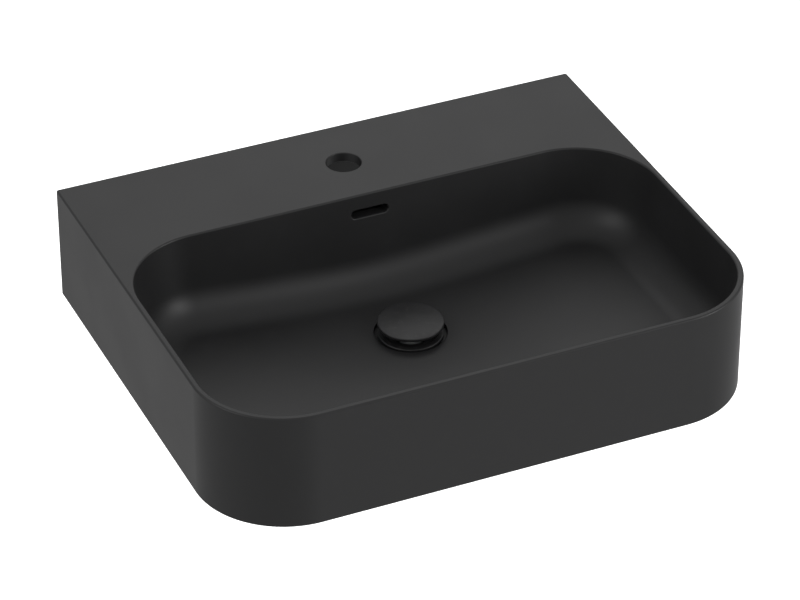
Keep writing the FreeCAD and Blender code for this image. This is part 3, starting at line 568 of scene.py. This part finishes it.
def makeBasin():
    outer = outline(-halfWidth, halfWidth, frontY, 0, size["frontRadius"], size["backRadius"], 36)
    sections = []
    for k in range(5):
        a = radians(22.5 * k)
        sections.append((size["baseRound"] * (1 - sin(a)), baseZ + size["baseRound"] * (1 - cos(a))))
    for k in range(10):
        a = radians(10 * k)
        sections.append((size["rimRound"] * (1 - cos(a)), rimZ - size["rimRound"] * (1 - sin(a))))
    body = loft("basin_glazed", [level(outer, inset, z) for inset, z in sections])

    soft = size["recessRound"]
    rings, away = bowlRings(0, mouth(size["rimRound"], lean, 10 * mm), size["recess"] + soft)
    edgeZ = lowPoint + fall * (size["recess"] + soft)
    turns = [(size["recess"] + soft * (1 - cos(radians(a))), edgeZ - soft * (1 - sin(radians(a)))) for a in (67, 45, 22, 0)]
    turns += [(size["recess"], seatZ), (size["wasteHole"], seatZ), (size["wasteHole"], baseZ - 5 * mm)]
    for radius, z in turns:
        rings.append([(*(waste + d * radius), z) for d in away])
    bowl = loft("bowlSpace", rings)

    # the room below: a prism less the bowl's skin, the waste's boss and the overflow's walls
    side = halfWidth - size["apron"]
    plan = outline(-side, side, frontY + size["apron"], -size["backWall"], size["frontRadius"] - size["apron"], 4 * mm)
    room = loft("room", [level(plan, 0, baseZ - mm), level(plan, 0, rimZ - size["deck"])])
    skinRows = [(-tan(lean) * 5 * mm, -5 * mm)]
    skin = loft("skin", bowlRings(size["skin"], skinRows, 20 * mm)[0])
    bossPath = [(0, -30), (basinSizes["boss"], -30), (basinSizes["boss"], -0.5), (0, -0.5)]
    boss = spin("boss", bossPath, 96, smoothAngle=None)
    ductFront = size["skin"] - size["shelf"]
    ductBack = ductFront + size["ductGap"]
    wall = size["ductWall"]
    ductFoot = baseZ + size["ductFloor"]
    slotZ = rimZ - size["slotDrop"]
    bend = ductFoot + size["ductLow"]
    head = slotZ + size["slotHeight"] / 2 + size["ductHead"]
    shellPath = [(ductFront - wall, bend + wall), (ductFront - wall, rimZ - 7 * mm), (ductBack + wall, rimZ - 7 * mm),
                 (ductBack + wall, baseZ - 2 * mm), (wasteY, baseZ - 2 * mm), (wasteY, bend + wall)]
    shell = prismX("ductShell", shellPath, size["ductHalf"] + wall)
    cutOut(room, [skin, boss, shell], None)
    ductPath = [(ductFront, bend), (ductFront, head), (ductBack, head), (ductBack, ductFoot), (wasteY, ductFoot),
                (wasteY, bend)]
    duct = prismX("duct", ductPath, size["ductHalf"])

    # overflow slot: its rounded mouth lies in the leaning back wall
    half = size["slotLength"] / 2
    tall = size["slotHeight"] / 2
    pairs = outline(-half, half, slotZ - tall, slotZ + tall, tall, tall, 12)
    rings = []
    for inset, depth in mouth(size["holeRound"], 0, 15 * mm):
        ring = []
        for x, z in [point + normal * inset for point, normal in pairs]:
            ring.append((x, depth - size["shelf"] - tan(lean) * (rimZ - z), z))
        rings.append(ring)
    rings.append([(point.x, ductFront + 4 * mm, point.y) for point, normal in pairs])
    slotSpace = loft("slotSpace", rings)

    rows = [(basinSizes["tapRadius"] - inset / mm, -depth / mm) for inset, depth in mouth(size["holeRound"], 0, 10 * mm)]
    tapPath = [(0, 10)] + rows + [(basinSizes["tapRadius"], -basinSizes["deck"] + 0.6),
                                  (basinSizes["tapRadius"] + 0.9, -basinSizes["deck"] - 0.3),
                                  (basinSizes["tapRadius"] + 0.9, -15), (0, -15)]
    tap = spin("tapSpace", tapPath, 96, (0, -size["tapFromWall"]), rimZ, None)
    tools = [bowl, room, duct, slotSpace, tap]
    hole = basinSizes["fixingHole"]
    for x in (-size["boltSpacing"] / 2, size["boltSpacing"] / 2):
        path = [(0, -30), (hole, -30), (hole, -0.6), (hole + 0.9, 0.3), (hole + 0.9, 5), (0, 5)]
        tools.append(turnToWall(spin("fixing", path, 48, (0, 0), 0, None), x))
    return cutOut(body, tools, 30)


basin = fit(makeBasin(), "basin", "basin", "ceramic")


# ---- waste: flanged tube with its thread, windows and the ring that carries the cartridge

wasteSizes = {
    "flange": 32.0, "flangeFoot": 1.5, "flangeTop": 4.5, "rim": 27.0, "dish": 2.7, "tube": 20.95, "bore": 18.5,
    "threadDepth": 0.8, "pitch": 2.309, "threadTop": -15.6, "reliefTop": -33.0, "reliefLow": -35.0, "end": -74.5,
    "windowHalf": 10.0, "windowTop": -4.0, "windowLow": -13.0, "windowRound": 1.5,
    "ringTop": -24.0, "ringLow": -30.0, "ringBore": 11.75, "ringOuter": 14.15, "armHalf": 1.5, "arms": 4,
}


def makeWasteBody():
    d = wasteSizes
    root = d["tube"] - d["threadDepth"]
    path = [(root, d["threadTop"]), (d["tube"], d["threadTop"] + 0.8), (d["tube"], d["flangeFoot"]),
            (d["flange"], d["flangeFoot"], 0.3), (d["flange"], d["flangeTop"], 1.1), (d["rim"], d["flangeTop"], 0.7),
            (d["rim"] - 1.8, d["dish"], 0.7), (d["bore"], d["dish"], 1.2), (d["bore"], d["end"], 0.4),
            (root, d["end"]), (root, d["end"] + 0.9)]
    shell = spin("wasteShell", roundPath(path, closed=False), closed=False)
    relief = spin("relief", [(root, d["reliefLow"]), (root, d["reliefTop"])], closed=False)
    common = {"Radius": d["tube"], "Depth": d["threadDepth"], "Pitch": d["pitch"], "EndRadius": root,
              "Around": 96, "PerTurn": 8}
    at = (0, wasteY)
    lower = threaded("lowerThread", "black_metal", at, seatZ + (d["end"] + 0.9) * mm,
                     Length=d["reliefLow"] - d["end"] - 0.9, **common)
    upper = threaded("upperThread", "black_metal", at, seatZ + d["reliefTop"] * mm,
                     Length=d["threadTop"] - d["reliefTop"], **common)
    tube = weld("wasteTube", [shell, relief, lower, upper])
    w = d["windowHalf"] * mm
    pairs = outline(-w, w, seatZ + d["windowLow"] * mm, seatZ + d["windowTop"] * mm, d["windowRound"] * mm,
                    d["windowRound"] * mm, 6)
    window = loft("windows", [[(p.x, wasteY + y * mm, p.y) for p, n in pairs] for y in (-25, 25)])
    cutOut(tube, [window])
    ringPath = [(d["ringBore"], d["ringLow"], 0.3), (d["ringOuter"], d["ringLow"], 0.3),
                (d["ringOuter"], d["ringTop"], 0.3), (d["ringBore"], d["ringTop"], 0.3)]
    ring = spin("carrier", roundPath(ringPath))
    arm = block("arm", (d["ringOuter"] - 0.5, d["bore"] + 0.5), (-d["armHalf"], d["armHalf"]), (d["ringLow"], d["ringTop"]))
    arms = move(ringOf(arm, "black_metal", d["arms"]), 0, wasteY, seatZ)
    return weld("waste_body_turned", [tube, ring, arms])


fit(makeWasteBody(), "waste_body", "basin", "black_metal")


# ---- gaskets, washer and back nut round the tube; heights are above the seat

clampSizes = {
    "bore": 21.2, "gasketOuter": 31.0, "gasketTop": 1.5, "taperTop": -15.5, "taperLow": -21.5,
    "taperOuter": 31.0, "taperSmall": 27.5, "slipLow": -23.0, "slipOuter": 29.0,
    "nutLow": -32.0, "nutFlats": 52.0, "nutBore": 21.0,
}


def washer(name, inner, outer, foot, top, soft, **where):
    path = [(inner, foot, soft), (outer, foot, soft), (outer, top, soft), (inner, top, soft)]
    return spin(name, roundPath(path, steps=4), **where)


c = clampSizes
fit(washer("flange_gasket_ring", c["bore"], c["gasketOuter"], 0, c["gasketTop"], 0.5), "flange_gasket", "basin", "rubber")
taperPath = [(c["bore"], c["taperLow"], 0.5), (c["taperSmall"], c["taperLow"], 1.0),
             (c["taperOuter"], c["taperTop"], 0.8), (c["bore"], c["taperTop"], 0.5)]
fit(spin("tapered_gasket_ring", roundPath(taperPath)), "tapered_gasket", "basin", "rubber")
slip = washer("slip_washer_ring", c["bore"], c["slipOuter"], c["slipLow"], c["taperLow"], 0.4)
fit(slip, "slip_washer", "basin", "white_plastic")
fit(hexNut("back_nut_cut", c["nutFlats"], c["nutBore"], c["nutLow"], c["slipLow"]), "back_nut", "basin", "brass")


# ---- cap with its O-ring and lock nut

capSizes = {
    "radius": 32.4, "foot": 13.8, "edge": 3.0, "crown": 1.4, "edgeRound": 1.1, "boss": 7.0, "bossFoot": 8.0,
    "bore": 3.85, "boreTop": 13.4, "grooveIn": 22.75, "grooveOut": 25.25, "grooveTop": 14.45,
    "sealRadius": 24.0, "sealMiddle": 13.2, "sealSection": 1.2, "nutFlats": 13.0, "nutFoot": 5.0,
}


def makeCap():
    d = capSizes
    rim = d["foot"] + d["edge"]
    ball = (d["radius"] ** 2 + d["crown"] ** 2) / (2 * d["crown"])
    path = [(0, d["boreTop"]), (d["bore"], d["boreTop"]), (d["bore"], d["bossFoot"], 0.3),
            (d["boss"], d["bossFoot"], 0.5), (d["boss"], d["foot"], 1.2), (d["grooveIn"], d["foot"], 0.2),
            (d["grooveIn"], d["grooveTop"]), (d["grooveOut"], d["grooveTop"]), (d["grooveOut"], d["foot"], 0.2),
            (d["radius"], d["foot"], 0.5), (d["radius"], rim, d["edgeRound"])]
    for k in range(15, -1, -1):
        radius = d["radius"] * k / 16
        path.append((radius, rim + d["crown"] - ball + sqrt(ball ** 2 - radius ** 2)))
    return spin("waste_cap_turned", roundPath(path), 128)


d = capSizes
fit(makeCap(), "waste_cap", "plug", "black_metal")
sealPath = []
for k in range(20):
    a = 2 * pi * k / 20
    sealPath.append((d["sealRadius"] + d["sealSection"] * cos(a), d["sealMiddle"] + d["sealSection"] * sin(a)))
fit(spin("cap_seal_ring", sealPath, 96, smoothAngle=60), "cap_seal", "plug", "rubber")
fit(hexNut("cap_locknut_cut", d["nutFlats"], d["bore"], d["nutFoot"], d["bossFoot"]), "cap_locknut", "plug", "brass")


# ---- click cartridge: barrel, washer, nut, foot plug, plunger, cam rotor and spring

clickSizes = {
    "barrel": 11.5, "barrelBore": 9.5, "top": -5.0, "foot": -45.0, "lid": -7.5, "lidBore": 5.3,
    "collar": 13.6, "collarFoot": -23.0, "collarTop": -21.0, "ribFrom": 8.2, "ribNear": 1.9, "ribFar": 3.9,
    "ribFoot": -24.8, "nutFlats": 27.0, "nutBore": 11.55, "nutFoot": -34.0, "nutTop": -30.0,
    "washerFoot": -24.0, "washerBore": 11.75, "plug": 9.45, "plugBore": 2.0, "plugTop": -41.0,
    "rod": 5.0, "rodTop": 5.0, "stud": 3.8, "studTop": 13.0, "head": 7.8, "headTop": -7.8, "headFoot": -14.8,
    "spline": 9.0, "splineHalf": 1.5, "rotor": 7.4, "rotorTop": -15.1, "rotorFoot": -21.1, "tail": 3.0,
    "tailFoot": -26.1, "notchHalf": 1.0, "notchDepth": 1.5,
    "coil": 6.0, "wire": 0.5, "coilFoot": -40.4, "coilTop": -21.7, "turns": 6.0,
}


def makeBarrel():
    d = clickSizes
    path = [(d["barrelBore"], d["foot"], 0.2), (d["barrel"], d["foot"], 0.4), (d["barrel"], d["collarFoot"]),
            (d["collar"], d["collarFoot"], 0.3), (d["collar"], d["collarTop"], 0.4), (d["barrel"], d["collarTop"]),
            (d["barrel"], d["top"], 0.8), (d["lidBore"], d["top"], 0.3), (d["lidBore"], d["lid"]), (d["barrelBore"], d["lid"])]
    tube = spin("barrelTube", roundPath(path))
    parts = [tube]
    for near, far in ((d["ribNear"], d["ribFar"]), (-d["ribFar"], -d["ribNear"])):
        rib = block("rib", (d["ribFrom"], d["barrelBore"] + 0.5), (near, far), (d["ribFoot"], d["lid"]))
        parts.append(move(ringOf(rib, "grey_plastic", 4), 0, wasteY, seatZ))
    return weld("barrel_moulded", parts)


def makePlunger():
    d = clickSizes
    root = d["stud"] - 0.5
    path = [(0, d["headFoot"]), (d["head"], d["headFoot"], 0.4), (d["head"], d["headTop"], 0.3), (d["rod"], d["headTop"]),
            (d["rod"], d["rodTop"], 0.2), (root, d["rodTop"])]
    shaft = spin("plungerShaft", roundPath(path, closed=False), 64, closed=False)
    end = spin("plungerEnd", [(root, d["studTop"] - 0.4), (root - 0.4, d["studTop"]), (0, d["studTop"])], 64, closed=False)
    thread = threaded("plungerThread", "white_plastic", (0, wasteY), seatZ + d["rodTop"] * mm, Radius=d["stud"],
                      Depth=0.5, Pitch=1.25, Length=d["studTop"] - 0.4 - d["rodTop"], EndRadius=root, Around=64, PerTurn=8)
    spline = block("spline", (d["head"] - 0.5, d["spline"]), (-d["splineHalf"], d["splineHalf"]), (d["headFoot"], d["headTop"]))
    splines = move(ringOf(spline, "white_plastic", 4), 0, wasteY, seatZ)
    return weld("plunger_moulded", [shaft, end, thread, splines])


def makeRotor():
    d = clickSizes
    path = [(0, d["tailFoot"]), (d["tail"], d["tailFoot"], 0.5), (d["tail"], d["rotorFoot"]), (d["rotor"], d["rotorFoot"], 0.3),
            (d["rotor"], d["rotorTop"], 0.3), (0, d["rotorTop"])]
    rotor = spin("rotor_moulded", roundPath(path), 64)
    notch = block("notch", (d["tail"], d["rotor"] + 1), (-d["notchHalf"], d["notchHalf"]),
                  (d["rotorTop"] - d["notchDepth"], d["rotorTop"] + 1))
    notches = move(ringOf(notch, "white_plastic", 4), 0, wasteY, seatZ)
    return cutOut(rotor, [notches])


def makeSpring():
    d = clickSizes
    coil = growFrom(coilTree(coats["spring_steel"]), "click_spring_wound", Radius=d["coil"] * mm, Wire=d["wire"] * mm,
                    Height=(d["coilTop"] - d["coilFoot"]) * mm, Turns=d["turns"])
    move(coil, 0, wasteY, seatZ + d["coilFoot"] * mm)
    shadeSmooth(coil, 60)
    return coil


d = clickSizes
fit(makeBarrel(), "barrel", "basin", "grey_plastic")
fit(washer("barrel_washer_ring", d["washerBore"], d["collar"], d["washerFoot"], d["collarFoot"], 0.3),
    "barrel_washer", "basin", "rubber")
fit(hexNut("barrel_nut_moulded", d["nutFlats"], d["nutBore"], d["nutFoot"], d["nutTop"]), "barrel_nut", "basin", "grey_plastic")
fit(washer("barrel_plug_moulded", d["plugBore"], d["plug"], d["foot"], d["plugTop"], 0.4), "barrel_plug", "basin", "grey_plastic")
fit(makePlunger(), "plunger", "plug", "white_plastic")
fit(makeRotor(), "rotor", "click_rotor", "white_plastic")
spring = fit(makeSpring(), "click_spring", "basin", "spring_steel")
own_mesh(spring)


# ---- wall fixings: two hanger bolts, each with bush, washer and nut; heights run into the wall

fixingSizes = {
    "spacing": 280.0, "bolt": 5.0, "boltRoot": 4.4, "boltPitch": 1.5, "boltEnd": -42.0, "boltFace": -2.0,
    "wood": 5.4, "woodRoot": 4.0, "woodPitch": 4.0, "woodStart": 1.0, "woodEnd": 55.0, "tip": 65.0,
    "bushBore": 5.3, "bush": 9.8, "bushFlange": 14.0, "bushEnd": -0.5, "bushFace": -14.0, "bushHead": -17.0,
    "washer": 12.0, "washerFace": -19.0, "nutFlats": 17.0, "nutBore": 5.05, "nutEnd": -27.0,
}


def twice(name, make):
    half = fixingSizes["spacing"] / 2 * mm
    return weld(name, [turnToWall(make(f"{name}{x}"), x * half) for x in (-1, 1)])


def makeBolt(name):
    d = fixingSizes
    at = (0, 0)
    end = spin("boltEnd", [(0, d["boltEnd"]), (d["boltRoot"], d["boltEnd"]), (d["boltRoot"], d["boltEnd"] + 0.6)], 64, at, 0,
               closed=False)
    neck = spin("boltNeck", [(d["boltRoot"], d["boltFace"]), (d["woodRoot"], d["boltFace"] + 0.6), (d["woodRoot"], d["woodStart"])],
                64, at, 0, closed=False)
    point = [(d["woodRoot"], d["woodEnd"]), (d["woodRoot"] * 0.8, d["woodEnd"] + 3.5), (d["woodRoot"] * 0.3, d["tip"] - 2), (0, d["tip"])]
    point = spin("boltPoint", point, 64, at, 0, closed=False)
    machine = threaded("machineThread", "zinc_steel", at, (d["boltEnd"] + 0.6) * mm, Radius=d["bolt"], Pitch=d["boltPitch"],
                       Depth=d["bolt"] - d["boltRoot"], Length=d["boltFace"] - d["boltEnd"] - 0.6, EndRadius=d["boltRoot"],
                       Around=64, PerTurn=8)
    wood = threaded("woodThread", "zinc_steel", at, d["woodStart"] * mm, Radius=d["wood"], Pitch=d["woodPitch"],
                    Depth=d["wood"] - d["woodRoot"], Length=d["woodEnd"] - d["woodStart"], EndRadius=d["woodRoot"],
                    Around=64, PerTurn=12)
    return weld(name, [end, neck, point, machine, wood])


def makeBush(name):
    d = fixingSizes
    path = [(d["bushBore"], d["bushHead"], 0.3), (d["bushFlange"], d["bushHead"], 0.8), (d["bushFlange"], d["bushFace"], 0.4),
            (d["bush"], d["bushFace"]), (d["bush"], d["bushEnd"], 0.6), (d["bushBore"], d["bushEnd"], 0.3)]
    return spin(name, roundPath(path), 64, (0, 0), 0)


def makeWasher(name):
    d = fixingSizes
    return washer(name, d["bushBore"], d["washer"], d["washerFace"], d["bushHead"], 0.25, segments=64, at=(0, 0), lift=0)


def makeNut(name):
    d = fixingSizes
    return hexNut(name, d["nutFlats"], d["nutBore"], d["nutEnd"], d["washerFace"], (0, 0), 0)


fit(twice("wall_bolts_pair", makeBolt), "wall_bolts", "basin", "zinc_steel")
fit(twice("bolt_bushes_pair", makeBush), "bolt_bushes", "basin", "white_plastic")
fit(twice("bolt_washers_pair", makeWasher), "bolt_washers", "basin", "zinc_steel")
fit(twice("bolt_nuts_pair", makeNut), "bolt_nuts", "basin", "zinc_steel")


# ---- stage: floor, soft boxes and camera

stage = {
    "floorZ": -3.0, "floorHalf": 14.0, "world": 0.53,
    "softBoxes": {
        "top": {"at": (0.95, 1.75, 1.75), "aim": (0, -0.2, 0), "size": (1.8, 1.8), "power": 6.8},
        "left": {"at": (-1.9, -0.3, 1.3), "aim": (0, -0.25, 0), "size": (0.9, 1.4), "power": 8.0},
        "frontRight": {"at": (1.5, -1.6, 0.7), "aim": (0.1, -0.3, 0), "size": (0.35, 1.2), "power": 14.5},
        "lowFront": {"at": (1.0, -2.4, -1.5), "aim": (0, -0.45, 0), "size": (1.6, 1.6), "power": 3.0},
        "backdrop": {"at": (1.8, 4.1, -1.9), "aim": (1.8, 4.1, -3.0), "size": (3.2, 3.8), "power": 80.0},
    },
}

half = stage["floorHalf"]
z = stage["floorZ"]
corners = [(-half, -half, z), (half, -half, z), (half, half, z), (-half, half, z)]
floor = makePiece("floor", corners, [(0, 1, 2, 3)], None)
floor.data.materials.append(coats["backdrop"])

scene = bpy.context.scene
world = bpy.data.worlds.new("soft room")
world.use_nodes = True
sky = world.node_tree.nodes["Background"]
sky.inputs[0].default_value = (1.0, 1.0, 1.0, 1.0)
sky.inputs[1].default_value = stage["world"]
scene.world = world
scene.view_settings.view_transform = "Standard"

for name, lamp in stage["softBoxes"].items():
    light = bpy.data.lights.new(name, "AREA")
    light.shape = "RECTANGLE"
    light.size, light.size_y = lamp["size"]
    light.energy = lamp["power"]
    holder = bpy.data.objects.new(name, light)
    holder.location = lamp["at"]
    towards = Vector(lamp["aim"]) - Vector(lamp["at"])
    holder.rotation_euler = towards.to_track_quat("-Z", "Y").to_euler()
    scene.collection.objects.link(holder)
print("stage ready")

# the camera looks down over the front left corner
azimuth = -0.418
elevation = 0.591
back = Vector((sin(azimuth) * cos(elevation), -cos(azimuth) * cos(elevation), sin(elevation)))
right = Vector((cos(azimuth), sin(azimuth), 0))
up = back.cross(right)
lens = bpy.data.cameras.new("camera")
lens.lens = 177.75
lens.sensor_width = 36
lens.clip_end = 50
camera = bpy.data.objects.new("camera", lens)
camera.rotation_euler = Matrix((right, up, back)).transposed().to_euler()
camera.location = Vector((0, 0, rimZ)) + right * 0.08246 - up * 0.16909 + back * 3.9224
scene.collection.objects.link(camera)
scene.camera = camera
